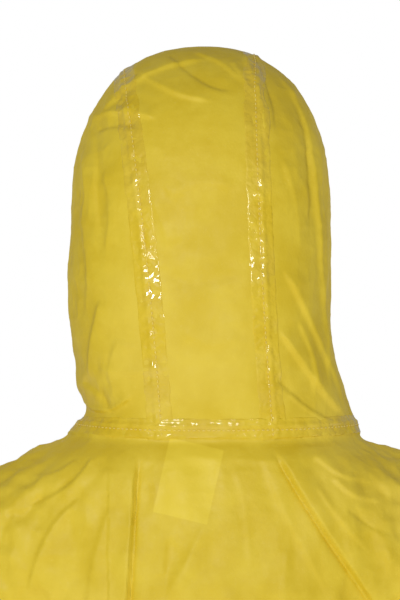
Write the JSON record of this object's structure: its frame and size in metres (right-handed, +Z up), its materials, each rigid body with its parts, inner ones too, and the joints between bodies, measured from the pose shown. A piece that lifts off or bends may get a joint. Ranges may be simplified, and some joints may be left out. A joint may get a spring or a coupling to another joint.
{
  "type": "chemical protective coverall",
  "caption": "Yellow laminated-film protective coverall with panelled hood, heat-sealed taped seams, front zipper under a storm flap, and elasticated face, waist, wrists and ankles.",
  "frame": {"origin": "centre of the neck seam, where the hood joins the body", "axes": "+Z up through the hood's crown, -Y towards the front closure, +X towards the wearer's left"},
  "size_m": [0.9332, 0.2691, 1.8062],
  "materials": {
    "laminate": "light crinkled film on a non-woven backing, faintly translucent",
    "seam_tape": "clear heat-sealed film over the stitching, glossy and wrinkled",
    "elastic": "woven elastic, ribbed",
    "liner": "smooth white film",
    "zipper_tape": "woven polyester",
    "zipper_teeth": "moulded",
    "zipper_hardware": "moulded"
  },
  "bodies": {
    "torso": {"back_panel": "laminate", "front_left_panel": "laminate", "front_right_panel": "laminate", "crotch_gusset": "laminate", "left_side_seam_tape": "seam_tape", "right_side_seam_tape": "seam_tape", "left_shoulder_seam_tape": "seam_tape", "right_shoulder_seam_tape": "seam_tape", "waist_elastic": "elastic", "size_label": "liner", "zipper_tape_left": "zipper_tape", "zipper_tape_right": "zipper_tape", "zipper_chain_left": "zipper_teeth", "zipper_chain_right": "zipper_teeth", "zipper_top_stops": "zipper_hardware", "zipper_bottom_stop": "zipper_hardware", "storm_flap_base": "laminate"},
    "hood": {"hood_centre_panel": "laminate", "hood_left_panel": "laminate", "hood_right_panel": "laminate", "hood_left_seam_tape": "seam_tape", "hood_right_seam_tape": "seam_tape", "neck_seam_tape": "seam_tape", "face_hem": "laminate", "face_elastic": "elastic"},
    "chin_flap": {"chin_flap": "laminate", "chin_flap_adhesive": "liner"},
    "zipper_slider": {"zipper_slider": "zipper_hardware"},
    "zipper_pull_tab": {"zipper_pull_tab": "zipper_hardware"},
    "storm_flap": {"storm_flap": "laminate", "storm_flap_adhesive": "liner"},
    "left_upper_sleeve": {"left_upper_sleeve": "laminate", "left_upper_sleeve_tape": "seam_tape"},
    "left_lower_sleeve": {"left_lower_sleeve": "laminate", "left_lower_sleeve_tape": "seam_tape", "left_cuff": "laminate", "left_wrist_elastic": "elastic", "left_thumb_loop": "elastic"},
    "left_upper_leg": {"left_upper_leg": "laminate", "left_upper_leg_tape": "seam_tape"},
    "left_lower_leg": {"left_lower_leg": "laminate", "left_lower_leg_tape": "seam_tape", "left_ankle_hem": "laminate", "left_ankle_elastic": "elastic"},
    "right_upper_sleeve": {"right_upper_sleeve": "laminate", "right_upper_sleeve_tape": "seam_tape"},
    "right_lower_sleeve": {"right_lower_sleeve": "laminate", "right_lower_sleeve_tape": "seam_tape", "right_cuff": "laminate", "right_wrist_elastic": "elastic", "right_thumb_loop": "elastic"},
    "right_upper_leg": {"right_upper_leg": "laminate", "right_upper_leg_tape": "seam_tape"},
    "right_lower_leg": {"right_lower_leg": "laminate", "right_lower_leg_tape": "seam_tape", "right_ankle_hem": "laminate", "right_ankle_elastic": "elastic"}
  },
  "joints": [
    {"name": "hood_tilt", "type": "hinge", "parent": "torso", "child": "hood", "pos_m": [0, 0.098, 0], "axis": [-1, 0, 0], "range_deg": [0, 15]},
    {"name": "chin_flap_fold", "type": "hinge", "parent": "hood", "child": "chin_flap", "pos_m": [-0.028, -0.1136, 0], "axis": [0, 0, -1], "range_deg": [0, 150]},
    {"name": "storm_flap_fold", "type": "hinge", "parent": "torso", "child": "storm_flap", "pos_m": [-0.028, -0.1184, 0], "axis": [0, 0, -1], "range_deg": [-160, 0]},
    {"name": "zipper_slide", "type": "slide", "parent": "torso", "child": "zipper_slider", "axis": [0, 0, -1], "range_m": [0, 0.55]},
    {"name": "pull_tab_lift", "type": "hinge", "parent": "zipper_slider", "child": "zipper_pull_tab", "pos_m": [0, -0.1173, -0.042], "axis": [-1, 0, 0], "range_deg": [0, 120]},
    {"name": "left_shoulder", "type": "hinge", "parent": "torso", "child": "left_upper_sleeve", "pos_m": [0.168, 0.005, -0.112], "axis": [0, -1, 0], "range_deg": [0, 60]},
    {"name": "left_elbow", "type": "hinge", "parent": "left_upper_sleeve", "child": "left_lower_sleeve", "pos_m": [0.30415, 0.005, -0.36806], "axis": [-0.8829, 0, -0.4695], "range_deg": [0, 90]},
    {"name": "left_hip", "type": "hinge", "parent": "torso", "child": "left_upper_leg", "pos_m": [0.112, 0.008, -0.735], "axis": [-1, 0, 0], "range_deg": [-15, 60]},
    {"name": "left_knee", "type": "hinge", "parent": "left_upper_leg", "child": "left_lower_leg", "pos_m": [0.13136, 0.008, -1.10449], "axis": [0.9986, 0, 0.0523], "range_deg": [0, 90]},
    {"name": "right_shoulder", "type": "hinge", "parent": "torso", "child": "right_upper_sleeve", "pos_m": [-0.168, 0.005, -0.112], "axis": [0, 1, 0], "range_deg": [0, 60]},
    {"name": "right_elbow", "type": "hinge", "parent": "right_upper_sleeve", "child": "right_lower_sleeve", "pos_m": [-0.30415, 0.005, -0.36806], "axis": [-0.8829, 0, 0.4695], "range_deg": [0, 90]},
    {"name": "right_hip", "type": "hinge", "parent": "torso", "child": "right_upper_leg", "pos_m": [-0.112, 0.008, -0.735], "axis": [-1, 0, 0], "range_deg": [-15, 60]},
    {"name": "right_knee", "type": "hinge", "parent": "right_upper_leg", "child": "right_lower_leg", "pos_m": [-0.13136, 0.008, -1.10449], "axis": [0.9986, 0, -0.0523], "range_deg": [0, 90]}
  ]
}
